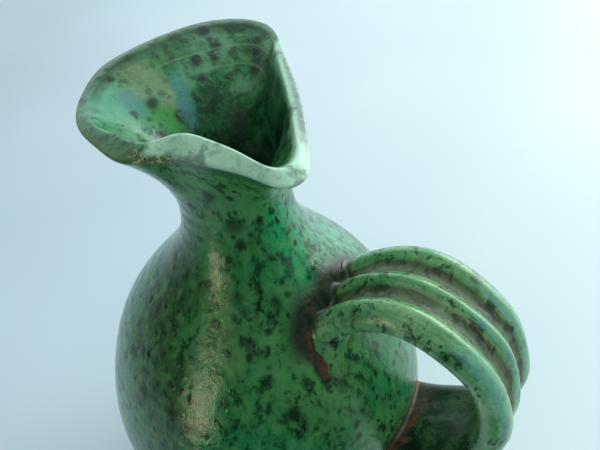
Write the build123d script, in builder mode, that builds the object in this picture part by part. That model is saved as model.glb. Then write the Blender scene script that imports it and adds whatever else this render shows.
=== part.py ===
from build123d import *
from math import atan2, cos, hypot, radians, sin
import os

# Glazed earthenware pitcher: a thrown ovoid jug on a turned foot, with a narrow neck opened into a
# triangular mouth that is pinched to a pouring lip at -X, and a three-ribbed strap handle.
# Millimetres, +Z up. The origin is the centre of the foot on the surface that the pitcher stands on.

# ---- driving dimensions ----
FOOT_RADIUS = 47.0            # outside of the turned foot ring
FOOT_WIDTH = 8.5              # radial width of the foot ring
FOOT_HEIGHT = 7.0             # standing face up to the underside of the body
FOOT_EDGE = 1.6               # rounding of the foot's standing edges
FLOOR_TOP = 13.5              # inside floor of the body
COLLAR_HEIGHT = 176.0         # where the neck was collared in above the body
COLLAR_RADIUS = 27.9
COLLAR_WALL = 6.2
NECK_HEIGHT = 198.0           # narrowest part of the neck
NECK_RADIUS = 22.0
NECK_WALL = 5.0
MOUTH_TRIM = 246.0            # the mouth is formed up to here, then cut to the rim's line
MOUTH_STEPS = 6               # sections from the neck up to there
WASTE_REACH = 120.0           # the waste above the rim's line, from the middle to each side
WASTE_TOP = 260.0

HANDLE_ANGLE = 38.0           # handle's plane, turned from +X towards -Y about the vertical
RIB_RADIUS = 6.6              # three round ribs side by side make the strap
RIB_PITCH = 14.0
WEB_TOP = 2.6                 # valley floor between the ribs, above the strap's middle
SLIP_GROWTH = 2.4             # how far the luting clay stands out around the strap
SLIP_REACH = 4.5              # how far it runs out from the body along the strap
SLIP_DIVIDE = 120.0           # height between the strap's two joints

# Outside of the body from the foot up to the collar (radius, height); the belly is at height 85.
BODY_OUTSIDE = [(FOOT_RADIUS, FOOT_HEIGHT), (56.5, 15.5), (64.3, 28), (70, 44), (73.5, 64), (75, 84),
                (71.2, 107), (59.4, 135), (38, 162), (COLLAR_RADIUS, COLLAR_HEIGHT)]
# Inside of the body from the collar down to the floor.
BODY_INSIDE = [(COLLAR_RADIUS - COLLAR_WALL, COLLAR_HEIGHT), (31, 162), (52.4, 135), (64.8, 107), (69, 84),
               (67.5, 64), (63.7, 45), (57, 29), (47, 18), (34, FLOOR_TOP)]

# The rim's outer edge (x, y, height), hand-shaped, so no two sides are alike: from the straight back
# edge at +X round the far corner to the lip at -X, and back by the pinched side and the near corner.
RIM = [(27.8, 3, 237.5), (27.8, 32, 237.5), (26.3, 52, 237.5), (19.5, 60, 238), (3, 63, 239), (-17, 57, 239),
       (-33, 49, 238), (-43, 43, 236), (-49.5, 32, 233.6), (-51.8, 18, 232.8), (-49.5, 5, 233.3),
       (-42.5, -9, 235), (-31.5, -24, 237), (-20, -27.5, 238), (-8, -35, 238.7), (5, -44.5, 238.6),
       (14.5, -51.5, 238), (20.5, -49.5, 237.7), (25, -37, 237.5), (27.2, -18, 237.5)]
RIM_STEPS = 3                 # places set out round the rim for each of its points
RIM_WALL = 4.4                # wall at the rim
PINCH_WALL = 7.4              # wall where the rim was folded in by the pinch
PINCH_ANGLE = 235.0           # direction of the pinch, from +X towards +Y
# The rim's height seen from the side (x, height), from behind the back edge to beyond the lip.
RIM_LINE = [(40, 237), (28, 237.5), (3, 239), (-20, 238.7), (-35, 237.2), (-44, 235.3), (-52, 232.6), (-66, 227)]

# The strap's middle line in the handle's plane (distance from the vertical axis, height).
STRAP_LINE = [(38, 144), (48, 158), (58, 167), (71, 172.5), (84, 170), (96, 163), (105.5, 152), (111, 138),
              (112.5, 122), (109.5, 107), (101, 95.5), (89, 87.5), (76, 81.5), (66, 77.5)]

os.makedirs("parts", exist_ok=True)


def between(before, start, end, after, part):
    """A smooth curve's value at a part (0 to 1) of the way from start to end, with the values either side."""
    slope = end - before
    bend = 2 * before - 5 * start + 4 * end - after
    twist = 3 * start - before - 3 * end + after
    return start + (slope * part + bend * part ** 2 + twist * part ** 3) / 2


RIM_POINTS = []
for number, start in enumerate(RIM):
    neighbours = (RIM[number - 1], start, RIM[(number + 1) % len(RIM)], RIM[(number + 2) % len(RIM)])
    for step in range(RIM_STEPS):
        RIM_POINTS.append([between(*values, step / RIM_STEPS) for values in zip(*neighbours)])
RIM_PLACES = [place / len(RIM_POINTS) for place in range(len(RIM_POINTS) + 1)]


def rim_wall(angle):
    """Wall thickness at the rim in one direction, in radians."""
    pinch = max(0.0, cos(angle - radians(PINCH_ANGLE)))
    return RIM_WALL + (PINCH_WALL - RIM_WALL) * pinch ** 2


def throat_radius(height, inset):
    """Radius of the round wall below the mouth: it narrows from the body's collar up to the neck."""
    bottom = COLLAR_RADIUS - inset * COLLAR_WALL
    neck = NECK_RADIUS - inset * NECK_WALL
    to_go = max(0.0, (NECK_HEIGHT - height) / (NECK_HEIGHT - COLLAR_HEIGHT))
    return neck + (bottom - neck) * to_go ** 2


def mouth_section(height, inset):
    """Points of the neck's and mouth's wall at one height, one for each place round the rim.

    Up to the neck the wall is round. Above it, each point flares out to its place on the rim.
    inset is 0 for the outside of the wall, and 1 for its inside.
    """
    throat = throat_radius(height, inset)
    points = []
    for x, y, rim_height in RIM_POINTS:
        angle = atan2(y, x)
        rim_radius = hypot(x, y) - inset * rim_wall(angle)
        rise = max(0.0, (height - NECK_HEIGHT) / (rim_height - NECK_HEIGHT))
        radius = throat + (rim_radius - throat) * rise ** 2
        points.append((radius * cos(angle), radius * sin(angle)))
    return points


# ---- body ----
with BuildPart() as body:
    with BuildSketch(Plane.XZ):
        with BuildLine():
            outside = Spline(*BODY_OUTSIDE)
            Line(outside @ 1, BODY_INSIDE[0])
            inside = Spline(*BODY_INSIDE)
            Polyline(inside @ 1, (0, FLOOR_TOP), (0, FOOT_HEIGHT), outside @ 0)
        make_face()
    revolve(axis=Axis.Z)
body.part.label = "body"
export_step(body.part, "parts/body.step")

# The body as a solid lump: it trims the handle and the luting clay to the body's outside.
with BuildPart() as body_lump:
    with BuildSketch(Plane.XZ):
        with BuildLine():
            lump_edge = Spline(*BODY_OUTSIDE)
            Polyline(lump_edge @ 1, (0, COLLAR_HEIGHT), (0, FOOT_HEIGHT), lump_edge @ 0)
        make_face()
    revolve(axis=Axis.Z)

# ---- foot ring ----
with BuildPart() as foot_ring:
    with BuildSketch():
        Circle(FOOT_RADIUS)
        Circle(FOOT_RADIUS - FOOT_WIDTH, mode=Mode.SUBTRACT)
    extrude(amount=FOOT_HEIGHT)
    standing_face = foot_ring.faces().sort_by(Axis.Z)[0]
    chamfer(standing_face.edges(), length=FOOT_EDGE)
foot_ring.part.label = "foot_ring"
export_step(foot_ring.part, "parts/foot_ring.step")

# ---- neck and mouth ----
SECTION_HEIGHTS = [COLLAR_HEIGHT, (COLLAR_HEIGHT + NECK_HEIGHT) / 2]
for step in range(MOUTH_STEPS + 1):
    SECTION_HEIGHTS.append(NECK_HEIGHT + (MOUTH_TRIM - NECK_HEIGHT) * step / MOUTH_STEPS)

with BuildPart() as neck_and_mouth:
    for height in SECTION_HEIGHTS:
        with BuildSketch(Plane.XY.offset(height)):
            with BuildLine():
                add(Edge.make_spline(mouth_section(height, 0), periodic=True, parameters=RIM_PLACES))
            make_face()
    loft()
    for height in SECTION_HEIGHTS:
        with BuildSketch(Plane.XY.offset(height)):
            with BuildLine():
                add(Edge.make_spline(mouth_section(height, 1), periodic=True, parameters=RIM_PLACES))
            make_face()
    loft(mode=Mode.SUBTRACT)
    with BuildSketch(Plane.XZ):
        with BuildLine():
            rim_line = Spline(*RIM_LINE)
            Polyline(rim_line @ 1, (-WASTE_REACH, WASTE_TOP), (WASTE_REACH, WASTE_TOP), rim_line @ 0)
        make_face()
    extrude(amount=WASTE_REACH, both=True, mode=Mode.SUBTRACT)
neck_and_mouth.part.label = "neck_and_mouth"
export_step(neck_and_mouth.part, "parts/neck_and_mouth.step")

# ---- handle ----
HANDLE_PLANE = Plane(
    origin=(0, 0, 0),
    x_dir=(cos(radians(HANDLE_ANGLE)), -sin(radians(HANDLE_ANGLE)), 0),
    z_dir=(-sin(radians(HANDLE_ANGLE)), -cos(radians(HANDLE_ANGLE)), 0),
)
with BuildLine(HANDLE_PLANE) as strap_path:
    Spline(*STRAP_LINE)


def strap_plane(place):
    """Plane across the strap at a place (0 to 1) along its middle line, its y pointing out of the loop."""
    return Plane(
        origin=strap_path.line @ place,
        x_dir=-HANDLE_PLANE.z_dir,
        z_dir=strap_path.line % place,
    )


with BuildPart() as handle:
    with BuildSketch(strap_plane(0)):
        with Locations((-RIB_PITCH, 0), (0, 0), (RIB_PITCH, 0)):
            Circle(RIB_RADIUS)
        with Locations((0, (WEB_TOP - RIB_RADIUS) / 2)):
            Rectangle(2 * RIB_PITCH, WEB_TOP + RIB_RADIUS)
    sweep(path=strap_path.line)
    add(body_lump.part, mode=Mode.SUBTRACT)
handle.part.label = "handle"
export_step(handle.part, "parts/handle.step")

# ---- luting clay round the strap's two ends ----
# The clay reaches a little way out from the body, inside this slightly larger copy of it.
with BuildPart() as slip_reach:
    with BuildSketch(Plane.XZ):
        with BuildLine():
            reach_edge = Spline(*[(radius + SLIP_REACH, height) for radius, height in BODY_OUTSIDE])
            Polyline(reach_edge @ 1, (0, COLLAR_HEIGHT), (0, FOOT_HEIGHT), reach_edge @ 0)
        make_face()
    revolve(axis=Axis.Z)


for name, kept in (("upper_joint_slip", Keep.TOP), ("lower_joint_slip", Keep.BOTTOM)):
    with BuildPart() as joint_slip:
        with BuildSketch(strap_plane(0)):
            SlotCenterToCenter(2 * RIB_PITCH, 2 * (RIB_RADIUS + SLIP_GROWTH))
        sweep(path=strap_path.line)
        add(slip_reach.part, mode=Mode.INTERSECT)
        add(body_lump.part, mode=Mode.SUBTRACT)
        add(handle.part, mode=Mode.SUBTRACT)
        split(bisect_by=Plane.XY.offset(SLIP_DIVIDE), keep=kept)
    joint_slip.part.label = name
    export_step(joint_slip.part, "parts/" + name + ".step")
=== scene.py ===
from math import cos, pi, radians, sin

import bpy
import numpy as np
from mathutils import Matrix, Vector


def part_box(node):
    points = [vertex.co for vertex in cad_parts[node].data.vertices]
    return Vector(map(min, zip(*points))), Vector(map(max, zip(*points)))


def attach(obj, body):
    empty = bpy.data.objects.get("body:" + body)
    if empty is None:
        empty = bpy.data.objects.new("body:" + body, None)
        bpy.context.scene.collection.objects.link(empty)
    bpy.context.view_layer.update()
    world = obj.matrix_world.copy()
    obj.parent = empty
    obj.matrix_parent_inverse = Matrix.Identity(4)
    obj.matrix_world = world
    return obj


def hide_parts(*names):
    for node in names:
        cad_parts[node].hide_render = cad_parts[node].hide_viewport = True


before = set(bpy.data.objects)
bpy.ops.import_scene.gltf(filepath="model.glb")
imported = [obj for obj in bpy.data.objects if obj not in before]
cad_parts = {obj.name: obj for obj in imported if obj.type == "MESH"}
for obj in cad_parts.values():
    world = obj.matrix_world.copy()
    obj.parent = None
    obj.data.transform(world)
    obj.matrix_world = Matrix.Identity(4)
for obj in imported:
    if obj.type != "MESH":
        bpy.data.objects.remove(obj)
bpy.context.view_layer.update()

# Looks of the glazed pitcher. Metres, +Z up, the origin at the centre of the foot on the floor.
# The vessel is worked out as one continuous skin and then divided where the CAD nodes meet.

# ---- heights where the pieces meet, read from the frame ----
FOOT_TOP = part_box("foot_ring")[1].z
FOOT_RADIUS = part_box("foot_ring")[1].x
COLLAR_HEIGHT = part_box("neck_and_mouth")[0].z

# ---- shape of the turned walls: (radius, height) ----
OUTSIDE = [(FOOT_RADIUS, FOOT_TOP), (.0565, .0155), (.0643, .028), (.070, .044), (.0735, .064), (.075, .084),
           (.0712, .107), (.0594, .135), (.038, .162), (.0279, COLLAR_HEIGHT), (.0234, .187), (.022, .198)]
INSIDE = [(.017, .198), (.018, .187), (.0217, COLLAR_HEIGHT), (.031, .162), (.0524, .135), (.0648, .107),
          (.069, .084), (.0675, .064), (.0637, .045), (.057, .029), (.047, .018), (.034, .0135),
          (.017, .013)]
NECK_HEIGHT = OUTSIDE[-1][1]
NECK_RADIUS = OUTSIDE[-1][0]
BORE_RADIUS = INSIDE[0][0]

# ---- the rim's outer edge, pulled by hand so that no two sides are alike: (x, y, height) ----
RIM = [(.0278, .003, .2375), (.0278, .032, .2375), (.0263, .052, .2375), (.0195, .060, .238),
       (.003, .063, .239), (-.017, .057, .239), (-.033, .049, .238), (-.043, .043, .236),
       (-.0495, .032, .2336), (-.0518, .018, .2328), (-.0495, .005, .2333), (-.0425, -.009, .235),
       (-.0315, -.0235, .2372), (-.020, -.0265, .239), (-.008, -.034, .2394), (.005, -.0442, .239),
       (.0145, -.0515, .238), (.0205, -.0495, .2377), (.025, -.037, .2375), (.0272, -.018, .2375)]
RIM_WALL = .0044
PINCH_WALL = .0084
PINCH_ANGLE = radians(247)
RIM_SOFTNESS = .0016          # rounding of the rim's two edges

# ---- the strap handle ----
HANDLE_ANGLE = radians(-38)   # direction of its plane from +X
STRAP_LINE = [(.038, .144), (.048, .158), (.058, .167), (.071, .1725), (.084, .170), (.096, .163),
              (.1055, .152), (.111, .138), (.1125, .122), (.1095, .107), (.101, .0955), (.089, .0875),
              (.076, .0815), (.066, .0775)]
RIB_PITCH = .014
RIB_RADIUS = .0066
VALLEY_DEPTH = .0031

ROUND_STEPS = 360             # columns round the vessel
WALL_SAMPLES = 4000           # places at which a turned wall is worked out
STRAP_ROWS = 260
FILLET_ROWS = 14
STRAY_NORMAL = 1e-12          # shortest vector that is still given a length of one


# ---------------------------------------------------------------- curves

def natural_curve(points, count, closed=False, power=1.0):
    """count points on a smooth curve (continuous curvature) through the given points."""
    knots = np.array(points, float)
    if closed:
        knots = np.vstack([knots[-3:], knots, knots[:4]])
    steps = np.linalg.norm(np.diff(knots, axis=0), axis=1) ** power
    place = np.concatenate([[0.0], np.cumsum(steps)])
    size = len(knots)
    system = np.zeros((size, size))
    right = np.zeros(knots.shape)
    system[0, 0] = system[-1, -1] = 1.0
    for row in range(1, size - 1):
        before, after = steps[row - 1], steps[row]
        system[row, row - 1:row + 2] = before, 2 * (before + after), after
        slope_after = (knots[row + 1] - knots[row]) / after
        slope_before = (knots[row] - knots[row - 1]) / before
        right[row] = 6 * (slope_after - slope_before)
    bend = np.linalg.solve(system, right)
    first, last = (place[3], place[-4]) if closed else (place[0], place[-1])
    wanted = np.linspace(first, last, count, endpoint=not closed)
    cell = np.clip(np.searchsorted(place, wanted, side="right") - 1, 0, size - 2)
    width = steps[cell][:, None]
    to_end = (place[cell + 1] - wanted)[:, None]
    from_start = (wanted - place[cell])[:, None]
    return (bend[cell] * to_end ** 3 / (6 * width) + bend[cell + 1] * from_start ** 3 / (6 * width)
            + (knots[cell] / width - bend[cell] * width / 6) * to_end
            + (knots[cell + 1] / width - bend[cell + 1] * width / 6) * from_start)


def rounded_corner(start, corner, end, count):
    """Points of a soft corner that leaves start towards corner and arrives at end. Arrays of points."""
    part = np.linspace(0, 1, count)[:, None, None]
    return (1 - part) ** 2 * start + 2 * part * (1 - part) * corner + part ** 2 * end


def unit(vectors):
    return vectors / np.maximum(np.linalg.norm(vectors, axis=-1, keepdims=True), STRAY_NORMAL)


def smooth_step(low, high, value):
    part = np.clip((value - low) / (high - low), 0, 1)
    return part * part * (3 - 2 * part)


# ---------------------------------------------------------------- camera

# Place, turns and lens with which the outlines of the vessel and the strap fall where they are seen.
CAMERA_PLACE = (0, -.18687, .34926)
CAMERA_PAN = radians(7.23)
CAMERA_PITCH = radians(43)
CAMERA_ROLL = radians(5.69)
CAMERA_LENS = 37.2            # millimetres
SENSOR_WIDTH = 36             # millimetres
CAMERA_NEAR = .01


def make_camera():
    """The camera looks down into the mouth from close by, leaning a little to the left."""
    forward = np.array([sin(CAMERA_PAN) * cos(CAMERA_PITCH), cos(CAMERA_PAN) * cos(CAMERA_PITCH),
                        -sin(CAMERA_PITCH)])
    level = np.array([cos(CAMERA_PAN), -sin(CAMERA_PAN), 0])
    up = np.cross(level, forward)
    right = cos(CAMERA_ROLL) * level - sin(CAMERA_ROLL) * up
    up = np.cross(right, forward)
    camera = bpy.data.objects.new("camera", bpy.data.cameras.new("camera"))
    camera.data.lens = CAMERA_LENS
    camera.data.sensor_width = SENSOR_WIDTH
    camera.data.clip_start = CAMERA_NEAR
    turn = Matrix([right, up, -forward]).transposed().to_4x4()
    camera.matrix_world = Matrix.Translation(CAMERA_PLACE) @ turn
    bpy.context.scene.collection.objects.link(camera)
    bpy.context.scene.camera = camera


make_camera()

# ---------------------------------------------------------------- meshes


def grid_faces(rows, columns, close_rows=False):
    """Quads between neighbouring rows of points that each run all the way round."""
    row_count = rows if close_rows else rows - 1
    row, column = np.meshgrid(np.arange(row_count), np.arange(columns), indexing="ij")
    next_row = (row + 1) % rows
    next_column = (column + 1) % columns
    quads = np.stack([row * columns + column, row * columns + next_column,
                      next_row * columns + next_column, next_row * columns + column], axis=-1)
    return quads.reshape(-1, 4)


def wound_inward(points, faces, normals):
    """Whether the faces are wound against the directions that should point out of the surface."""
    flat, outward = points.reshape(-1, 3), normals.reshape(-1, 3)
    quads = np.array([face for face in faces if len(face) == 4])
    facing = np.cross(flat[quads[:, 1]] - flat[quads[:, 0]], flat[quads[:, 3]] - flat[quads[:, 0]])
    return np.sign((facing * outward[quads[:, 0]]).sum(axis=1)).sum() < 0


def new_piece(name, points, faces, material, attributes=None, normals=None):
    """A smooth mesh piece with per-point values for its material, riding on the one body."""
    mesh = bpy.data.meshes.new(name)
    if normals is not None and wound_inward(points, faces, normals):
        faces = [list(face)[::-1] for face in faces]
    mesh.from_pydata(points.reshape(-1, 3).tolist(), [], [list(face) for face in faces])
    mesh.polygons.foreach_set("use_smooth", [True] * len(mesh.polygons))
    for key, values in (attributes or {}).items():
        mesh.attributes.new(key, "FLOAT", "POINT").data.foreach_set("value", values.ravel())
    mesh.update()
    if normals is not None:
        mesh.normals_split_custom_set_from_vertices(normals.reshape(-1, 3).tolist())
    piece = bpy.data.objects.new(name, mesh)
    bpy.context.scene.collection.objects.link(piece)
    mesh.materials.append(material)
    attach(piece, "root")
    return piece


# ---------------------------------------------------------------- the vessel's skin

def wall_curve(points):
    """Radius for each height of a turned wall, from its few points."""
    curve = natural_curve(points, WALL_SAMPLES)
    order = np.argsort(curve[:, 1])
    return lambda height: np.interp(height, curve[order, 1], curve[order, 0])


outside_radius = wall_curve(OUTSIDE + [(.0221, .209)])


def body_normal(radius_slope):
    """How much of the outward normal is radial, for a wall with this change of radius with height."""
    return 1 / np.sqrt(1 + radius_slope ** 2)


def wobble(angle, height):
    """How far the thrown wall strays from true: throwing rings that climb in a spiral, and a slow lean."""
    rings = .00010 * np.sin(2 * pi * height / .0062 + angle) * (.6 + .4 * np.sin(height * 97 + 2 * angle))
    lean = .00035 * np.sin(2 * angle + 31 * height) + .0002 * np.sin(3 * angle - 57 * height + 1.3)
    return rings + lean


def rim_shape():
    """The rim's outer and inner edges, column by column round the vessel."""
    outer = natural_curve(RIM, ROUND_STEPS, closed=True, power=.7)
    angle = np.arctan2(outer[:, 1], outer[:, 0])
    pinch = np.maximum(0, np.cos(angle - PINCH_ANGLE)) ** 1.2
    spout = smooth_step(radians(60), radians(25), np.abs((angle - radians(165) + pi) % (2 * pi) - pi))
    wall = RIM_WALL + (PINCH_WALL - RIM_WALL) * pinch + .0008 * spout
    tilt = .08 + .50 * pinch + .25 * spout
    radius = np.hypot(outer[:, 0], outer[:, 1])
    out_edge = np.stack([radius, outer[:, 2] - tilt * wall / 2], axis=1)
    in_edge = np.stack([radius - wall, outer[:, 2] + tilt * wall / 2], axis=1)
    return angle, out_edge, in_edge


def flare(throat, edge, rows):
    """Rows of (radius, height) of the mouth's wall from the round neck out to one edge of the rim."""
    rise = np.linspace(0, 1, rows)[:, None]
    radius = throat + (edge[:, 0] - throat) * rise ** 2
    height = NECK_HEIGHT + (edge[:, 1] - NECK_HEIGHT) * rise
    return np.stack([radius, height], axis=2)


def make_skin():
    """The whole vessel as rows of points: up the outside, over the rim, and down the inside."""
    angle, out_edge, in_edge = rim_shape()
    columns = len(angle)

    def turned(profile):
        return np.repeat(np.asarray(profile)[:, None, :], columns, axis=1)

    body_heights = np.linspace(FOOT_TOP, COLLAR_HEIGHT, 110)
    neck_heights = np.linspace(COLLAR_HEIGHT, NECK_HEIGHT, 16)[1:-1]
    outside = [turned(np.stack([outside_radius(h), h], axis=1)) for h in (body_heights, neck_heights)]
    mouth_out = flare(NECK_RADIUS, out_edge, 44)
    mouth_in = flare(BORE_RADIUS, in_edge, 44)[::-1]

    along_out = unit(mouth_out[-1] - mouth_out[-3])
    along_in = unit(mouth_in[0] - mouth_in[2])
    across = unit(in_edge - out_edge)
    soft = RIM_SOFTNESS
    first_corner = rounded_corner(out_edge - along_out * soft, out_edge, out_edge + across * soft, 8)
    face = np.stack([out_edge + across * soft, in_edge - across * soft])
    face = face[0] + (face[1] - face[0]) * np.linspace(0, 1, 6)[1:-1, None, None]
    last_corner = rounded_corner(in_edge - across * soft, in_edge, in_edge - along_in * soft, 8)

    inside_curve = natural_curve([(.0172, .209)] + INSIDE, 400)
    inside_curve = inside_curve[inside_curve[:, 1] < NECK_HEIGHT]
    collar_row = int(np.argmax(inside_curve[:, 1] < COLLAR_HEIGHT))
    inside_neck = inside_curve[4:collar_row:4]
    inside_body = np.vstack([[np.interp(COLLAR_HEIGHT, inside_curve[::-1, 1], inside_curve[::-1, 0]),
                              COLLAR_HEIGHT], inside_curve[collar_row + 3::3], [(.0005, INSIDE[-1][1])]])
    parts = {
        "body_out": outside[0],
        "neck_out": np.concatenate([outside[1], mouth_out[:-2]]),
        "rim": np.concatenate([first_corner, face, last_corner]),
        "neck_in": np.concatenate([mouth_in[2:], turned(inside_neck)]),
        "body_in": turned(inside_body),
    }
    first_row = {}
    rows = []
    for name, part in parts.items():
        first_row[name] = sum(len(done) for done in rows)
        rows.append(part)
    profile = np.concatenate(rows)
    radius, height = profile[..., 0], profile[..., 1]
    radius = radius + wobble(angle, height) * smooth_step(0, .02, radius)
    points = np.stack([radius * np.cos(angle), radius * np.sin(angle), height], axis=2)
    return angle, points, first_row


def grid_normals(points):
    """Outward normals of a skin whose rows run up the outside and down the inside."""
    along = np.gradient(points, axis=0)
    round_it = np.roll(points, -1, axis=1) - np.roll(points, 1, axis=1)
    return unit(np.cross(round_it, along))


# ---------------------------------------------------------------- the strap handle's shape

OUT = np.array([cos(HANDLE_ANGLE), sin(HANDLE_ANGLE), 0])
UP = np.array([0, 0, 1.0])
ACROSS = np.array([sin(HANDLE_ANGLE), -cos(HANDLE_ANGLE), 0])


def strap_outline():
    """Closed outline of the strap across its length: three ribs on top, round sides, a flat underside."""
    top = np.linspace(-RIB_PITCH, RIB_PITCH, 73)
    dip = np.abs(np.sin(pi * top / RIB_PITCH)) ** 1.6
    top_side = np.stack([top, RIB_RADIUS - VALLEY_DEPTH * dip], axis=1)
    turn = np.linspace(pi / 2, -pi / 2, 20)[1:-1]
    side = np.stack([RIB_PITCH + RIB_RADIUS * np.cos(turn), RIB_RADIUS * np.sin(turn)], axis=1)
    under = np.linspace(RIB_PITCH, -RIB_PITCH, 25)
    hollow = .0004 * np.cos(pi * under / (2 * RIB_PITCH))
    under_side = np.stack([under, -RIB_RADIUS + hollow], axis=1)
    outline = np.concatenate([top_side, side, under_side, side[::-1] * [-1, 1]])
    valley = np.concatenate([dip, np.zeros(len(outline) - len(top))])
    return outline, valley


def make_strap():
    """Rows of points along the strap, one outline each, how far down into a valley each column lies, and
    how far along the strap each row is."""
    outline, valley = strap_outline()
    line = natural_curve(STRAP_LINE, STRAP_ROWS)
    along = unit(np.gradient(line, axis=0))
    outward = np.stack([-along[:, 1], along[:, 0]], axis=1)
    place = np.linspace(0, 1, len(line))[:, None]
    # The potter pulls the strap thinner towards its lower end, and presses both ends out wider.
    thickness = 1.05 - .12 * place
    width = 1 + .05 * (1 - smooth_step(.0, .16, place)) + .05 * smooth_step(.86, 1, place)
    uneven = .00025 * np.sin(place * 19 + outline[:, 0] * 260) + .0002 * np.sin(place * 41 + 2)
    across = outline[:, 0] * width
    lift = outline[:, 1] * thickness + uneven
    points = ((line[:, :1] + outward[:, :1] * lift)[..., None] * OUT
              + (line[:, 1:] + outward[:, 1:] * lift)[..., None] * UP
              + across[..., None] * ACROSS)
    return points, valley, place


def above_body(points):
    """Height of points above the body's outer surface, and that surface's outward direction there."""
    radius = np.hypot(points[..., 0], points[..., 1])
    slope = (outside_radius(points[..., 2] + .001) - outside_radius(points[..., 2] - .001)) / .002
    share = body_normal(slope)
    height = (radius - outside_radius(points[..., 2])) * share
    direction = np.stack([points[..., 0] / radius * share, points[..., 1] / radius * share, -slope * share],
                         axis=-1)
    return height, direction


def joint_fillet(strap, from_row, step, reach, rise):
    """The smear of clay round one end of the strap: rows from the strap's side down onto the body.

    from_row and step say at which end of the strap to look. reach is how far the smear runs out over
    the body and rise how far it climbs the strap, for each place round the outline. Gives the points
    and their normals.
    """
    rows = strap[from_row::step]
    height, _ = above_body(rows)
    columns = np.arange(strap.shape[1])
    first_out = np.argmax(height > 0, axis=0)
    low, high = height[first_out - 1, columns], height[first_out, columns]
    part = (-low / (high - low))[:, None]
    base = rows[first_out - 1, columns] * (1 - part) + rows[first_out, columns] * part
    rising = unit(rows[np.minimum(first_out + 4, len(rows) - 1), columns] - base)
    _, body_out = above_body(base)
    beside = np.roll(base, -3, axis=0) - np.roll(base, 3, axis=0)
    sideways = unit(np.cross(beside, body_out))
    middle = base.mean(axis=0)
    sideways *= np.sign(((base - middle) * sideways).sum(axis=1).mean())
    sag = np.clip((reach - .004) / .006, 0, 1)[:, None]
    sideways = unit(sideways * (1 - .75 * sag) - UP * sag)
    steepness = np.maximum((rising * body_out).sum(axis=1), .4)[:, None]
    points, normals = [], []
    for turn in np.linspace(0, pi / 2, FILLET_ROWS):
        away = (reach * (1 - np.cos(turn)))[:, None]
        climb = (rise * (1 - np.sin(turn)))[:, None]
        point = base + sideways * away + rising * climb / steepness
        now, direction = above_body(point)
        points.append(point + direction * (climb - now[:, None]))
        normals.append(unit(sideways * (rise * np.cos(turn))[:, None]
                            + direction * (reach * np.sin(turn))[:, None]))
    # The hidden back: into the strap, into the body, and through the corner where the two meet.
    buried = base - sideways * .0008 - body_out * .0008
    points = [buried, points[0] - sideways * .0006] + points + [points[-1] - direction * .0006]
    normals = [-unit(sideways + body_out), normals[0]] + normals + [normals[-1]]
    return np.stack(points), np.stack(normals)


# ---------------------------------------------------------------- materials


def new_material(name):
    material = bpy.data.materials.new(name)
    material.use_nodes = True
    tree = material.node_tree
    tree.nodes.clear()
    output = tree.nodes.new("ShaderNodeOutputMaterial")
    shader = tree.nodes.new("ShaderNodeBsdfPrincipled")
    tree.links.new(shader.outputs["BSDF"], output.inputs["Surface"])
    return material, tree, shader


def set_inputs(tree, node, inputs):
    """Sets a node's sockets: a socket of another node is linked, anything else is a plain value."""
    for key, value in inputs.items():
        socket = node.inputs[key]
        if isinstance(value, bpy.types.NodeSocket):
            tree.links.new(value, socket)
        else:
            socket.default_value = value


def math_node(tree, operation, first, second=0.0):
    node = tree.nodes.new("ShaderNodeMath")
    node.operation = operation
    set_inputs(tree, node, {0: first, 1: second})
    return node.outputs[0]


def times(tree, first, second):
    return math_node(tree, "MULTIPLY", first, second)


def range_node(tree, value, low, high, to_low=0.0, to_high=1.0):
    """Smoothly maps low..high to to_low..to_high and holds the ends."""
    node = tree.nodes.new("ShaderNodeMapRange")
    node.interpolation_type = "SMOOTHSTEP"
    set_inputs(tree, node, {"Value": value, "From Min": low, "From Max": high,
                            "To Min": to_low, "To Max": to_high})
    return node.outputs["Result"]


def mix_colour(tree, share, first, second):
    node = tree.nodes.new("ShaderNodeMix")
    node.data_type = "RGBA"
    set_inputs(tree, node, {0: share})
    for socket, value in ((node.inputs[6], first), (node.inputs[7], second)):
        if isinstance(value, bpy.types.NodeSocket):
            tree.links.new(value, socket)
        else:
            socket.default_value = (*value, 1)
    return node.outputs[2]


def mapped(tree, scale=(1, 1, 1), shift=(0, 0, 0)):
    """Object coordinates, which are the frame's own metres, stretched and shifted."""
    coordinates = tree.nodes.new("ShaderNodeTexCoord")
    mapping = tree.nodes.new("ShaderNodeMapping")
    set_inputs(tree, mapping, {"Vector": coordinates.outputs["Object"], "Scale": scale, "Location": shift})
    return mapping.outputs["Vector"]


def noise(tree, vector, scale, detail=2.0, roughness=.5):
    node = tree.nodes.new("ShaderNodeTexNoise")
    set_inputs(tree, node, {"Vector": vector, "Scale": scale, "Detail": detail, "Roughness": roughness})
    return node.outputs["Fac"]


def strayed(tree, vector, scale, reach):
    """The same place, moved about by soft noise."""
    node = tree.nodes.new("ShaderNodeTexNoise")
    set_inputs(tree, node, {"Vector": vector, "Scale": scale, "Detail": 3})
    stray = tree.nodes.new("ShaderNodeVectorMath")
    stray.operation = "MULTIPLY_ADD"
    set_inputs(tree, stray, {0: node.outputs["Color"], 1: (reach, reach, reach), 2: vector})
    return stray.outputs[0]


def attribute(tree, name):
    node = tree.nodes.new("ShaderNodeAttribute")
    node.attribute_name = name
    return node.outputs["Fac"]


def colour_ramp(tree, value, stops):
    node = tree.nodes.new("ShaderNodeValToRGB")
    elements = node.color_ramp.elements
    while len(elements) < len(stops):
        elements.new(.5)
    for element, (place, colour) in zip(elements, stops):
        element.position = place
        element.color = (*colour, 1)
    set_inputs(tree, node, {"Fac": value})
    return node.outputs["Color"]


def bump(tree, height, distance, under=None):
    node = tree.nodes.new("ShaderNodeBump")
    set_inputs(tree, node, {"Height": height, "Distance": distance, "Strength": 1.0})
    if under is not None:
        set_inputs(tree, node, {"Normal": under})
    return node.outputs["Normal"]


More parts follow.
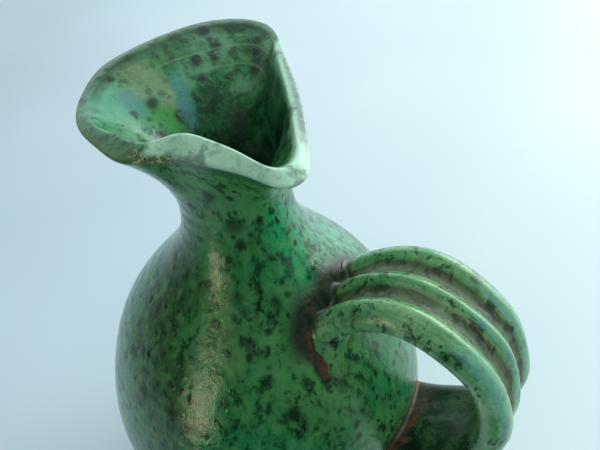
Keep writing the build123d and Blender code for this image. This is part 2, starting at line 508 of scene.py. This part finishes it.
# Colours of the glaze, linear.
EMERALD = (.006, .220, .064)
BRIGHT_EMERALD = (.008, .330, .110)
MID_GREEN = (.034, .200, .058)
LEAF_GREEN = (.090, .310, .095)
BRIGHT_LEAF = (.060, .380, .060)
YELLOW_GREEN = (.150, .330, .095)
OLIVE = (.048, .095, .030)
LIP_OLIVE = (.12, .19, .05)
MINT = (.58, .93, .66)
PALE_GREEN = (.20, .47, .26)
PALE_SAND = (.34, .46, .25)
GREY_VIOLET = (.17, .215, .225)
TURQUOISE = (.045, .27, .22)
BLUE = (.09, .25, .30)
BOTTLE = (.006, .052, .017)
NEAR_BLACK = (.003, .017, .007)
VALLEY_BROWN = (.085, .095, .030)
SOOT_BROWN = (.034, .026, .014)
RUST = (.125, .048, .020)
ORANGE_BROWN = (.230, .130, .045)
STRAP_GREEN = (.21, .50, .22)
STRAP_PALE = (.37, .62, .30)
CREST_GREEN = (.24, .46, .20)
BLUISH_GREEN = (.22, .56, .44)
SPOUT_GREEN = (.15, .50, .33)
LINE_GREEN = (.20, .42, .17)

# Colours of the bare clay, of the tabletop from left to right (its darker left is painted shade), and of the
# light.
CLAY_DARK = (.30, .145, .075)
CLAY_LIGHT = (.47, .27, .16)
CLAY_GRIT = (.16, .075, .04)
TABLE_LEFT_IN_SHADE = (.43, .53, .59)
TABLE_MIDDLE = (.69, .82, .89)
TABLE_RIGHT = (.90, .99, .99)
DARK_ROOM = (.030, .034, .030)
PALE_ROOM = (.78, .92, .96)
WINDOW_WHITE = (.95, .99, 1)
WARM_YELLOW = (1, .92, .62)
WARM_WHITE = (1, .99, .95)


def spots(tree, vector, scale, smallest, largest):
    """Soft round dots of uneven size, one to a cell, 1 in their middles and 0 between them."""
    dots = tree.nodes.new("ShaderNodeTexVoronoi")
    set_inputs(tree, dots, {"Vector": vector, "Scale": scale})
    size = range_node(tree, dots.outputs["Color"], .15, 1, smallest, largest)
    node = tree.nodes.new("ShaderNodeMapRange")
    node.interpolation_type = "SMOOTHSTEP"
    set_inputs(tree, node, {"Value": dots.outputs["Distance"], "From Min": times(tree, size, .3),
                            "From Max": size, "To Min": 1.0, "To Max": 0.0})
    return node.outputs["Result"]


def brushed(tree, name, ragged, amount=1.6, low=.12, high=.82):
    """A dab laid on with a brush: the named values with an edge made ragged by noise."""
    value = attribute(tree, name)
    rough_edge = math_node(tree, "ADD", value, math_node(tree, "SUBTRACT", times(tree, ragged, amount),
                                                         amount / 2))
    return times(tree, range_node(tree, rough_edge, low, high), range_node(tree, value, .02, .25))


def glaze_material(name):
    """Glossy green glaze that broke into dark dots, thin and pale over edges, brown where it pooled, with
    painted shade, painted highlights, a painted sheen and a painted sky reflection laid into its colour.
    """
    material, tree, shader = new_material(name)
    plain = mapped(tree)
    inside = attribute(tree, "inside")
    on_strap = attribute(tree, "strap")

    # Ground colour: clouds of emerald, mid and leaf green, with a fine mottle running down the wall.
    clouds = noise(tree, plain, 23, 3, .55)
    colour = colour_ramp(tree, clouds, [(.36, EMERALD), (.50, MID_GREEN), (.66, LEAF_GREEN)])
    runs = strayed(tree, mapped(tree, scale=(1, 1, .5)), 90, .008)
    fine = noise(tree, runs, 230, 5, .68)
    coarse = noise(tree, strayed(tree, mapped(tree, shift=(2, 3, 1)), 60, .010), 70, 4, .6)
    colour = mix_colour(tree, brushed(tree, "emerald", coarse, 1.0), colour, BRIGHT_EMERALD)
    colour = mix_colour(tree, times(tree, brushed(tree, "olive", coarse), .75), colour, OLIVE)
    strap_tone = combine(tree, times(tree, attribute(tree, "lane"), 5),
                         times(tree, attribute(tree, "run"), 9))
    stripes = noise(tree, strap_tone, 1.0, 3, .6)
    strap_green = colour_ramp(tree, stripes, [(.34, LEAF_GREEN), (.50, STRAP_GREEN), (.64, STRAP_PALE)])
    colour = mix_colour(tree, times(tree, on_strap, .8), colour, strap_green)
    colour = mix_colour(tree, range_node(tree, fine, .51, .64, 0, .60), colour, LEAF_GREEN)
    colour = mix_colour(tree, range_node(tree, fine, .50, .38, 0, .92), colour, BOTTLE)
    # Painted sheen: a blue-green tint over the top of the strap's bend, where the sky shines on it.
    bluish_painted_sheen = times(tree, brushed(tree, "bluish_painted_sheen", stripes, 1.2), .6)
    colour = mix_colour(tree, bluish_painted_sheen, colour, BLUISH_GREEN)

    # Inside the mouth the glaze ran paler, with dabs of blue, sand and leaf green.
    pale = times(tree, range_node(tree, coarse, .47, .62, 0, .55), inside)
    colour = mix_colour(tree, pale, colour, PALE_GREEN)
    colour = mix_colour(tree, times(tree, brushed(tree, "mint", fine), .55), colour, SPOUT_GREEN)
    colour = mix_colour(tree, times(tree, brushed(tree, "sand", coarse, 2.2), .55), colour, PALE_SAND)
    colour = mix_colour(tree, times(tree, brushed(tree, "leaf", fine), .80), colour, BRIGHT_LEAF)
    colour = mix_colour(tree, times(tree, brushed(tree, "turquoise", fine), .85), colour, TURQUOISE)
    colour = mix_colour(tree, times(tree, brushed(tree, "blue", coarse, 2.6), .55), colour, BLUE)

    colour = mix_colour(tree, times(tree, brushed(tree, "yellow", coarse), .45), colour, YELLOW_GREEN)

    # Dark dots and blotches, thick in some places and sparse in others.
    crowd = noise(tree, mapped(tree, shift=(1, 4, 2)), 24, 2)
    wandering = strayed(tree, mapped(tree, scale=(1, 1, .85)), 130, .0035)
    big = times(tree, spots(tree, wandering, 104, .12, .56), range_node(tree, crowd, .36, .56, .35, 1))
    small = times(tree, spots(tree, wandering, 215, .10, .56), range_node(tree, crowd, .62, .40, .5, 1))
    dark = math_node(tree, "MAXIMUM", big, small)
    dark = times(tree, dark, range_node(tree, attribute(tree, "yellow"), .2, .8, 1, .6))
    split = tree.nodes.new("ShaderNodeSeparateXYZ")
    set_inputs(tree, split, {0: plain})
    throat = times(tree, inside, range_node(tree, split.outputs["X"], -.022, -.006))
    dark = math_node(tree, "MAXIMUM", dark, times(tree, spots(tree, wandering, 92, .08, .62), throat))
    clumps = range_node(tree, coarse, .47, .38, 0, .75)
    dark = math_node(tree, "MAXIMUM", dark, times(tree, clumps, throat))
    dark = times(tree, dark, range_node(tree, on_strap, 0, 1, 1, .45))
    dark = math_node(tree, "MAXIMUM", dark, times(tree, brushed(tree, "blotch", coarse, 2.4, .20, 1.0),
                                                  range_node(tree, fine, .58, .44, .25, 1)))
    colour = mix_colour(tree, times(tree, dark, .90), colour, NEAR_BLACK)
    # Painted shade in NEAR_BLACK: inside the mouth down the throat and under the rim on the +X side, and on
    # the strap's lower end and underside.
    painted_shade = times(tree, attribute(tree, "painted_shade"), range_node(tree, coarse, .40, .62, 1, .80))
    colour = mix_colour(tree, painted_shade, colour, NEAR_BLACK)

    # Two thin turning lines inside the mouth.
    height = math_node(tree, "ADD", split.outputs["Z"], times(tree, clouds, .0016))
    for line_height in TURNED_LINES:
        off = math_node(tree, "ABSOLUTE", math_node(tree, "SUBTRACT", height, line_height + .0008))
        line = times(tree, range_node(tree, off, .00012, .00042, 1, 0), attribute(tree, "turned_line"))
        colour = mix_colour(tree, times(tree, line, .34), colour, LINE_GREEN)

    # The rim: pale on the edges with patches of GREY_VIOLET, and a painted highlight along the inner corner;
    # a painted sky reflection in GREY_VIOLET over the right side; darker on the far side, with a painted
    # shadow line under the near outer edge; olive on the spout's lip, partly painted shade where the lip
    # turns down.
    patches = noise(tree, mapped(tree, shift=(5, 2, 7)), 150, 3)
    edge_colour = mix_colour(tree, range_node(tree, patches, .54, .66, 0, .75), MINT, GREY_VIOLET)
    edge_colour = mix_colour(tree, range_node(tree, fine, .48, .34, 0, .35), edge_colour, LEAF_GREEN)
    edge = times(tree, attribute(tree, "edge"), range_node(tree, coarse, .30, .46, .75, 1))
    colour = mix_colour(tree, edge, colour, edge_colour)
    # Painted sky reflection: the right side of the rim in GREY_VIOLET.
    painted_sky_reflection = times(tree, attribute(tree, "painted_sky_reflection"), range_node(tree, fine, .35, .6, .5, 1))
    colour = mix_colour(tree, painted_sky_reflection, colour, GREY_VIOLET)
    # Darker on the far side of the rim, plus a painted shadow line under the near side's outer edge.
    colour = mix_colour(tree, attribute(tree, "rim_dark_and_painted_shadow"), colour, BOTTLE)
    # Dark olive on the spout's lip: partly the glaze's colour, partly painted shade where the lip turns
    # down.
    lip_colour = mix_colour(tree, range_node(tree, coarse, .42, .62), LIP_OLIVE, BOTTLE)
    lip = times(tree, attribute(tree, "lip"), range_node(tree, fine, .3, .6, 1, .7))
    colour = mix_colour(tree, lip, colour, lip_colour)

    # Glaze crawled into sparkling crinkles under the end of the pinched edge.
    crinkle = noise(tree, strayed(tree, plain, 300, .004), 620, 3, .7)
    crinkle_colour = colour_ramp(tree, crinkle, [(.45, LIP_OLIVE), (.52, NEAR_BLACK), (.58, PALE_SAND)])
    colour = mix_colour(tree, brushed(tree, "crinkle", fine, 1.0), colour, crinkle_colour)

    # The strap: brown pools in the valleys with orange edges, light glaze on the crests, which also serves
    # as a painted highlight.
    groove = attribute(tree, "groove")
    pooled = math_node(tree, "ADD", groove, times(tree, math_node(tree, "SUBTRACT", coarse, .5), 1.2))
    colour = mix_colour(tree, range_node(tree, pooled, .40, .95, 0, .80), colour,
                        mix_colour(tree, range_node(tree, fine, .42, .62), SOOT_BROWN, VALLEY_BROWN))
    shore = times(tree, range_node(tree, pooled, .18, .42), range_node(tree, pooled, .72, .48))
    colour = mix_colour(tree, times(tree, shore, times(tree, range_node(tree, stripes, .44, .60), .5)),
                        colour, ORANGE_BROWN)
    # Lighter green on the crests: thin glaze and a painted highlight.
    crest_glaze_and_highlight = times(tree, attribute(tree, "crest_glaze_and_highlight"), range_node(tree, stripes, .36, .58, .25, .85))
    colour = mix_colour(tree, crest_glaze_and_highlight, colour, CREST_GREEN)

    # Where the strap was luted on: a dark brown cloud, and rust along the seam.
    soot = brushed(tree, "soot", fine)
    colour = mix_colour(tree, times(tree, soot, .95), colour,
                        mix_colour(tree, range_node(tree, fine, .40, .60), NEAR_BLACK, SOOT_BROWN))
    rust = brushed(tree, "rust", fine, 1.4, .15, .7)
    colour = mix_colour(tree, times(tree, rust, .9), colour,
                        mix_colour(tree, range_node(tree, fine, .40, .62), SOOT_BROWN, RUST))

    # Surface: slow swells, orange peel and a fine crackle that breaks up bright reflections.
    swell = noise(tree, plain, 70, 2)
    peel = noise(tree, plain, 430, 2)
    crackle = noise(tree, plain, 1150, 3, .65)
    normal = bump(tree, swell, .0005)
    normal = bump(tree, peel, .00013, normal)
    normal = bump(tree, crackle, .00013, normal)
    normal = bump(tree, dark, .00012, normal)
    rough = range_node(tree, noise(tree, plain, 260, 3), .35, .7, .07, .20)
    dull = math_node(tree, "MAXIMUM", math_node(tree, "MAXIMUM", rust, groove), times(tree, soot, .5))
    rough = math_node(tree, "ADD", rough, times(tree, dull, .38))
    set_inputs(tree, shader, {"Base Color": colour, "Roughness": rough, "Normal": normal,
                              "IOR": 1.55})
    return material


def combine(tree, first, second):
    node = tree.nodes.new("ShaderNodeCombineXYZ")
    set_inputs(tree, node, {"X": first, "Y": second})
    return node.outputs["Vector"]


def clay_material():
    """Bare fired clay of the foot, wiped clean of glaze below an uneven line."""
    material, tree, shader = new_material("bare_clay")
    plain = mapped(tree)
    grain = noise(tree, plain, 900, 4, .6)
    stain = noise(tree, plain, 60, 3)
    clay = colour_ramp(tree, stain, [(.35, CLAY_DARK), (.65, CLAY_LIGHT)])
    clay = mix_colour(tree, range_node(tree, grain, .55, .72, 0, .6), clay, CLAY_GRIT)
    split = tree.nodes.new("ShaderNodeSeparateXYZ")
    set_inputs(tree, split, {0: plain})
    line = math_node(tree, "ADD", split.outputs["Z"], times(tree, stain, .004))
    glazed = times(tree, range_node(tree, line, .0052, .0058), attribute(tree, "outer"))
    mottle = noise(tree, plain, 140, 4)
    green = colour_ramp(tree, mottle, [(.38, NEAR_BLACK), (.5, BOTTLE), (.62, MID_GREEN)])
    colour = mix_colour(tree, glazed, clay, green)
    rough = range_node(tree, glazed, 0, 1, .85, .12)
    set_inputs(tree, shader, {"Base Color": colour, "Roughness": rough, "Normal": bump(tree, grain, .00012),
                              "IOR": 1.5})
    return material


def backdrop_material():
    """Pale tabletop, painted darker towards the left as shade, and a little uneven."""
    material, tree, shader = new_material("pale_tabletop")
    plain = mapped(tree)
    split = tree.nodes.new("ShaderNodeSeparateXYZ")
    set_inputs(tree, split, {0: plain})
    # Painted shade: the tabletop grows darker towards the left.
    tone = range_node(tree, split.outputs["X"], -.45, .35, .15, .85)
    uneven = times(tree, math_node(tree, "SUBTRACT", noise(tree, plain, 3, 2), .5), .5)
    tone = math_node(tree, "ADD", tone, uneven)
    colour = colour_ramp(tree, tone, [(0, TABLE_LEFT_IN_SHADE), (.5, TABLE_MIDDLE), (1, TABLE_RIGHT)])
    set_inputs(tree, shader, {"Base Color": colour, "Roughness": .45, "IOR": 1.4})
    return material


# Heights of the thin lines that the potter's tool left inside the mouth.
TURNED_LINES = (.2290, .2335)

GLAZE = glaze_material("green_glaze")
CLAY = clay_material()

# ---------------------------------------------------------------- pieces


def near(points, line, reach):
    """1 at a line of points, falling away softly over reach."""
    flat = points.reshape(-1, 3)
    distance = np.full(len(flat), 1.0)
    for place in line:
        distance = np.minimum(distance, np.linalg.norm(flat - place, axis=1))
    return np.exp(-(distance / reach) ** 2).reshape(points.shape[:-1])


def stroke(points, line, reach):
    """A brush stroke of this reach along straight lines between a few places."""
    line = np.array(line)
    between = np.linspace(0, len(line) - 1, 8 * len(line))
    path = np.stack([np.interp(between, np.arange(len(line)), line[:, axis]) for axis in range(3)], axis=1)
    return near(points, path, reach)


def apart(angle, middle):
    """How far angles are from a direction, in radians."""
    return np.abs((angle - middle + pi) % (2 * pi) - pi)


strap, valley, strap_place = make_strap()
strap_across = strap_outline()[0][:, 0] / RIB_PITCH
strap_above = strap_outline()[0][:, 1] / RIB_RADIUS
under_side = smooth_step(.2, -.6, strap_above)
near_side = smooth_step(.85, 1.30, strap_across)
upper_fillet, upper_normals = joint_fillet(strap, 0, 1, .0024 + (.0022 + .0110 * near_side) * under_side,
                                           .0014 + .0040 * under_side)
lower_fillet, lower_normals = joint_fillet(strap, -1, -1, np.full(len(under_side), .0017),
                                           .0010 + .0010 * under_side)
upper_edge, lower_edge = upper_fillet[-2], lower_fillet[-2]

# Dabs and runs in the glaze: name, strength, brush reach, and the places it passes on the wall. A place
# is a direction round the vessel, in whole degrees from +X, and a height in whole millimetres.
INSIDE_DABS = [
    ("turquoise", 1, .0034, [(113, 229), (115, 223), (119, 217)]),
    ("blue", 1, .0034, [(142, 229), (142, 226)]),
    ("blue", 1, .0024, [(117, 222), (118, 219)]),
    ("mint", 1, .0120, [(157, 233), (148, 229), (142, 226)]),
    ("sand", 1, .0075, [(127, 234), (127, 230), (125, 226)]),
    ("leaf", .5, .0070, [(183, 235)]),
    ("leaf", 1, .0060, [(140, 224), (134, 222), (127, 218)]),
    ("blotch", 1, .0022, [(123, 221), (123, 216)]),
    ("blotch", 1, .0030, [(97, 232), (98, 234)]),
    ("blotch", 1, .0028, [(88, 235)]),
    ("blotch", 1, .0028, [(88, 232)]),
    ("blotch", 1, .0034, [(76, 232), (72, 232)]),
    ("blotch", 1, .0030, [(67, 234), (65, 232)]),
    ("blotch", 1, .0026, [(98, 227)]),
    ("blotch", 1, .0030, [(81, 226)]),
    ("blotch", 1, .0034, [(77, 215)]),
]
OUTSIDE_DABS = [
    ("blotch", 1, .0034, [(-92, 176), (-86, 169)]),
    ("blotch", 1, .0042, [(-95, 164), (-88, 164), (-83, 162)]),
    ("blotch", 1, .0024, [(-102, 160), (-97, 156), (-89, 155)]),
    ("blotch", 1, .0022, [(-110, 155)]),
    ("blotch", 1, .0030, [(-104, 142)]),
    ("blotch", 1, .0026, [(-84, 124), (-82, 131)]),
    ("emerald", 1, .0085, [(-49, 197), (-44, 188), (-42, 182), (-50, 174)]),
    ("crinkle", 1, .0026, [(-148, 237), (-136, 236), (-125, 235)]),
    ("mint", .6, .0160, [(0, 174), (12, 157)]),
    ("olive", 1, .0190, [(-158, 168), (-151, 148), (-138, 130)]),
    ("rust", 1, .0013, [(-66, 149), (-67, 146), (-68, 140)]),
    ("soot", 1, .0026, [(-68, 154), (-69, 145), (-68, 139)]),
    ("yellow", 1, .0042, [(-112, 176), (-110, 167), (-107, 156), (-105, 149)]),
]


def on_wall(wall, angle, turn, height):
    """The place on a wall in one direction (degrees from +X) and at one height (millimetres)."""
    line = wall[:, np.argmin(apart(angle, radians(turn)))]
    line = line[np.argsort(line[:, 2])]
    return [np.interp(height / 1000, line[:, 2], line[:, axis]) for axis in range(3)]


def dabs(points, wall, angle, strokes):
    """Strength at every point of each kind of dab, laid along its places on one wall."""
    looks = {}
    for name, strength, reach, places in strokes:
        line = [on_wall(wall, angle, *place) for place in places]
        looks[name] = np.maximum(looks.get(name, 0), strength * stroke(points, line, reach))
    return looks


def make_vessel():
    """The body, and the neck with its mouth, cut from one skin so that no seam shows between them."""
    angle, points, first_row = make_skin()
    normals = grid_normals(points)
    rows, columns = points.shape[:2]
    row_number = np.arange(rows)[:, None] + np.zeros(columns)
    height = points[..., 2]
    rim_first = first_row["rim"]
    rim_last = first_row["neck_in"] - 1
    inside = smooth_step(rim_first + 4, rim_last, row_number)
    from_spout_side = points[..., 0]
    from_rim = np.maximum(rim_first - row_number, row_number - rim_last)
    on_rim = smooth_step(2, 0, from_rim)
    inner_corner = smooth_step(5, 0, np.abs(row_number - (rim_last - 4)))
    pale_side = smooth_step(radians(99), radians(95), apart(angle, radians(-43)))
    right_side = smooth_step(radians(60), radians(45), apart(angle, radians(-5)))
    far_side = smooth_step(radians(50), radians(40), apart(angle, radians(108)))
    spout = smooth_step(radians(66), radians(58), apart(angle, radians(158)))

    # Painted shade inside the mouth: down the throat, and on the +X side's inner wall just under the rim.
    throat_painted_shade = smooth_step(.228, .206, height) * smooth_step(-.016, .004, from_spout_side)
    corner_painted_shade = smooth_step(.012, .020, from_spout_side) * smooth_step(.0, .003, .2355 - height)
    seam = near(points, upper_edge, .0022)
    cloud = near(points, upper_edge[(strap_above > .3) & (strap_across > -.7)], .0080)
    side_edge = (strap_across > 1.25) & (strap_above < .6) & (strap_above > -.7)
    side = near(points, upper_edge[side_edge], .0011)
    looks = {
        "inside": inside,
        # Pale thin glaze over the near side of the rim, paler along the inner corner as a painted highlight.
        "edge": on_rim * (.82 + .18 * inner_corner) * pale_side,
        # Darker on the far side of the rim; a painted shadow line under the outer edge on the near side.
        "rim_dark_and_painted_shadow": np.maximum(.8 * on_rim * far_side * (1 - .7 * inner_corner),
                               .8 * smooth_step(4, 1, np.abs(row_number - rim_first)) * pale_side),
        # Painted sky reflection over the right side of the rim.
        "painted_sky_reflection": .8 * on_rim * right_side * (1 - inner_corner),
        # Dark olive on the spout's lip: partly the glaze's colour, partly painted shade where the lip turns
        # down.
        "lip": .85 * spout * smooth_step(9, 2, np.abs(row_number - rim_first - 3)),
        "rust": np.clip(side + .7 * near(points, lower_edge, .0022), 0, 1) * (1 - inside),
        "soot": np.clip(1.1 * cloud + .5 * seam, 0, 1) * (1 - inside),
        "turned_line": inside * smooth_step(radians(52), radians(35), apart(angle, radians(98))),
        "painted_shade": inside * np.clip(throat_painted_shade + .8 * corner_painted_shade, 0, 1),
    }
    inner = dabs(points, points[rim_last:], angle, INSIDE_DABS)
    outer = dabs(points, points[:rim_last], angle, OUTSIDE_DABS)
    for name in sorted(set(inner) | set(outer)):
        dab = inner.get(name, 0) * inside + outer.get(name, 0) * (1 - inside)
        looks[name] = np.maximum(looks.get(name, 0), dab)

    collar_out = first_row["neck_out"] - 1
    collar_in = first_row["body_in"]
    neck = slice(collar_out, collar_in + 1)
    neck_points = points[neck]
    neck_and_mouth = new_piece("neck_and_mouth_thrown", neck_points,
                               grid_faces(len(neck_points), columns, close_rows=True), GLAZE,
                               {key: value[neck] for key, value in looks.items()}, normals[neck])
    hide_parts("neck_and_mouth")

    # The underside inside the foot ring, from its middle out to the foot joint.
    under_radius = np.array([.002, .018, .034, .044])
    under = np.stack([under_radius[:, None] * np.cos(angle), under_radius[:, None] * np.sin(angle),
                      np.full((len(under_radius), columns), FOOT_TOP)], axis=2)

    def whole_body(outer_and_inner, start):
        return np.concatenate([start, outer_and_inner[:collar_out + 1], outer_and_inner[collar_in:]])

    body_points = whole_body(points, under)
    body_normals = whole_body(normals, np.zeros(under.shape) - UP)
    body_looks = {key: whole_body(value, np.zeros(under.shape[:2])) for key, value in looks.items()}
    faces = grid_faces(len(body_points), columns).tolist()
    faces.append(list(range(columns))[::-1])
    faces.append([(len(body_points) - 1) * columns + column for column in range(columns)])
    body = new_piece("body_thrown", body_points, faces, GLAZE, body_looks, body_normals)
    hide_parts("body")


def make_foot_ring():
    """The turned foot: a low ring with worn, rounded standing edges."""
    low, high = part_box("foot_ring")
    wide = high.x
    profile = np.array([(wide, high.z), (wide - .0004, .0045), (wide - .0009, .0022), (wide - .0016, .0007),
                        (wide - .0030, .0001), (wide - .0060, 0), (wide - .0072, .0005),
                        (wide - .0081, .0020), (wide - .0085, .0045), (wide - .0085, high.z)])
    profile = natural_curve(profile, 40)
    angle = np.linspace(0, 2 * pi, ROUND_STEPS, endpoint=False)
    radius = profile[:, :1] + .00012 * np.sin(5 * angle + profile[:, 1:] * 900)
    height = np.maximum(low.z, profile[:, 1:] + 0 * angle)
    points = np.stack([radius * np.cos(angle), radius * np.sin(angle), height], axis=2)
    outer = smooth_step(wide - .004, wide - .002, radius)
    faces = grid_faces(len(points), ROUND_STEPS, close_rows=True)
    foot = new_piece("foot_ring_turned", points, faces, CLAY, {"outer": outer})
    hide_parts("foot_ring")


def make_handle():
    """The three-ribbed strap, its glaze thin on the ribs with a painted highlight along their crests, brown
    in the valleys and at the joints, with a painted sheen over its bend and painted shade towards its lower
    end.
    """
    count = strap.shape[1]
    whole = np.ones(strap.shape[:2])
    top_side = strap_above > .4
    # Crests of the ribs, lighter as thin glaze and as a painted highlight.
    crest_glaze_and_highlight = smooth_step(.16, .02, valley) * smooth_step(.9, 1, strap_above)
    looks = {"strap": whole, "lane": strap_across * whole, "run": strap_place * whole,
             "groove": smooth_step(.25, .85, valley) * whole,
             "crest_glaze_and_highlight": crest_glaze_and_highlight * smooth_step(.12, .40, strap_place) * whole,
             "olive": .7 * under_side * whole,
             # Painted sheen over the top of the strap's bend.
             "bluish_painted_sheen": smooth_step(.30, .42, strap_place) * smooth_step(.66, .54, strap_place)
             * smooth_step(.1, .8, strap_above) * smooth_step(.6, .2, valley),
             # Painted shade on the strap's lower end, strongest on its underside, where the glaze is also
             # darker.
             "painted_shade": smooth_step(.60, .74, strap_place) * (.25 + .75 * under_side) * whole,
             "soot": .9 * near(strap, upper_edge[strap_above > .3], .0040) * top_side,
             "rust": .75 * near(strap, lower_edge, .0070) * under_side}
    faces = grid_faces(len(strap), count).tolist()
    faces.append(list(range(count))[::-1])
    faces.append([(len(strap) - 1) * count + column for column in range(count)])
    handle = new_piece("handle_strap", strap, faces, GLAZE, looks)
    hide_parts("handle")


def make_slips():
    """The fillets of luting clay under their glaze, rust brown where they meet the body, the lower one with
    a little painted shade.
    """
    for name, fillet, normals in (("upper_joint_slip", upper_fillet, upper_normals),
                                  ("lower_joint_slip", lower_fillet, lower_normals)):
        down = np.linspace(0, 1, len(fillet))[:, None] * np.ones(fillet.shape[1])
        on_top = smooth_step(.2, .8, strap_above) * np.ones(down.shape)
        upper = 1 if name.startswith("upper") else 0
        on_side = smooth_step(.5, 1, strap_across) * (1 - on_top)
        # The lower fillet carries a little painted shade, like the strap's lower end.
        looks = {"strap": .6 * (1 - down), "painted_shade": np.full(down.shape, .3 * (1 - upper)),
                 "soot": upper * on_top * smooth_step(0, .5, down),
                 "rust": np.clip(upper * on_side * smooth_step(.82, .97, down) + 1 - upper, 0, 1)}
        faces = grid_faces(len(fillet), fillet.shape[1], close_rows=True)
        slip = new_piece(name + "_smear", fillet, faces, GLAZE, looks, normals)
        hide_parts(name)


make_vessel()
make_foot_ring()
make_handle()
make_slips()

# ---------------------------------------------------------------- floor and light


def make_floor():
    """The tabletop. The glaze mirrors the part behind the pitcher, and dark room in place of the rest."""
    half, edge = 1.6, -.14
    tabletop = backdrop_material()
    for name, front, back in (("floor_behind", edge, half), ("floor_in_front", -half, edge)):
        mesh = bpy.data.meshes.new(name)
        corners = [(-half, front, 0), (half, front, 0), (half, back, 0), (-half, back, 0)]
        mesh.from_pydata(corners, [], [(0, 1, 2, 3)])
        mesh.materials.append(tabletop)
        floor = bpy.data.objects.new(name, mesh)
        floor.visible_glossy = name == "floor_behind"
        bpy.context.scene.collection.objects.link(floor)


def look_matrix(towards):
    """Turn that points -Z along towards and keeps +Y as near to up as it can."""
    back = -unit(np.asarray(towards, float))
    right = unit(np.cross(UP, back))
    return np.stack([right, np.cross(back, right), back], axis=1).tolist()


def area_light(name, place, target, size, power, colour, diffuse=True, glossy=True):
    """A soft rectangular light that the camera doesn't see."""
    lamp = bpy.data.lights.new(name, "AREA")
    lamp.shape = "RECTANGLE"
    lamp.size, lamp.size_y = size
    lamp.energy = power
    lamp.color = colour
    light = bpy.data.objects.new(name, lamp)
    towards = np.array(target) - np.array(place)
    light.matrix_world = Matrix.Translation(place) @ Matrix(look_matrix(towards)).to_4x4()
    light.visible_camera = False
    light.visible_diffuse = diffuse
    light.visible_glossy = glossy
    bpy.context.scene.collection.objects.link(light)


def make_world():
    """A pale room lit from behind and above, and darker on the side the camera stands on."""
    world = bpy.data.worlds.new("soft_room")
    world.use_nodes = True
    tree = world.node_tree
    background = tree.nodes["Background"]
    coordinates = tree.nodes.new("ShaderNodeTexCoord")
    split = tree.nodes.new("ShaderNodeSeparateXYZ")
    set_inputs(tree, split, {0: coordinates.outputs["Generated"]})
    bright_side = math_node(tree, "ADD", split.outputs["Y"], times(tree, split.outputs["X"], .75))
    behind = range_node(tree, bright_side, -.55, .75)
    above = range_node(tree, split.outputs["Z"], .30, .95, 0, .5)
    path = tree.nodes.new("ShaderNodeLightPath")
    above = times(tree, above, range_node(tree, path.outputs["Is Glossy Ray"], 0, 1, 1, .5))
    light = math_node(tree, "MAXIMUM", behind, above)
    light = math_node(tree, "MAXIMUM", light, path.outputs["Is Camera Ray"])
    set_inputs(tree, background, {"Color": mix_colour(tree, light, DARK_ROOM, PALE_ROOM),
                                  "Strength": 1.25})
    bpy.context.scene.world = world


make_floor()
make_world()
area_light("sky_window", (1.85, 1.0, .80), (0, 0, .12), (2.0, 1.15), 30, WINDOW_WHITE)
area_light("window_gap", (-.32, -.28, .145), (0, 0, .145), (.056, .28), .34, WARM_YELLOW,
           diffuse=False)
area_light("front_fill", (-.2, -.9, 1.3), (0, 0, .15), (1.2, .8), 2.2, WARM_WHITE, glossy=False)
bpy.context.scene.view_settings.view_transform = "Standard"
